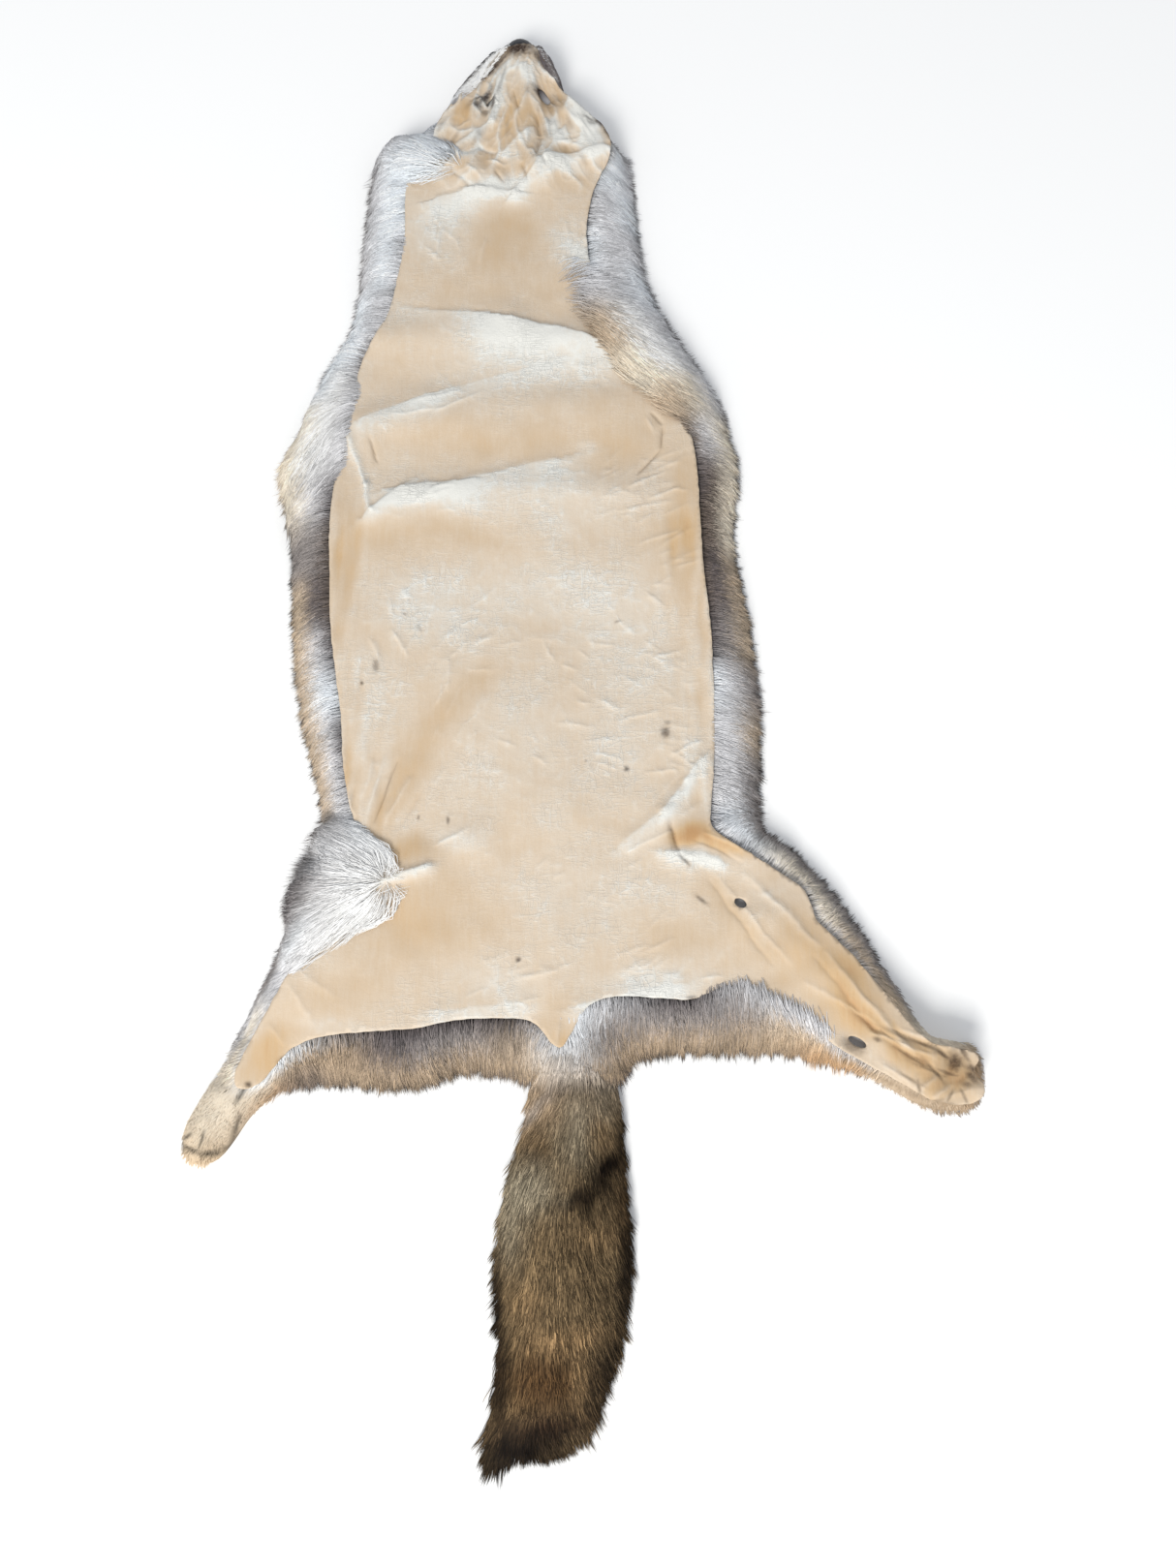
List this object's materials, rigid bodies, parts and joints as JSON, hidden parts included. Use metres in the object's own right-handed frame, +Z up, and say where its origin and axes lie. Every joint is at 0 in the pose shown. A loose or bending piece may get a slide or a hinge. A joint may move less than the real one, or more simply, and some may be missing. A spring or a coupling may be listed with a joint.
{
  "type": "tanned coyote pelt",
  "caption": "Tanned coyote pelt lying fur down with its leather side up: face mask, splayed hind legs, a deep fur rim and a bushy tail that lies fur side up.",
  "frame": {"origin": "on the surface it lies on, under the middle of the pelt's bounding box", "axes": "+Y from the tail to the nose, +X to the right of someone at the tail end, +Z up from the surface"},
  "size_m": [0.6742, 1.3859, 0.047],
  "materials": {
    "tanned_leather": "soft tanned flesh side, matte, cream to tan, creased",
    "winter_fur": "dense winter fur, grey-white with dark guard tips",
    "tail_fur": "bushy brown-grey fur with a black tip",
    "nose_pad": "black pebbled nose leather, half matte"
  },
  "bodies": {
    "root": {"hide": "tanned_leather", "coat": "winter_fur", "tail": "tail_fur", "nose": "nose_pad"}
  },
  "joints": []
}
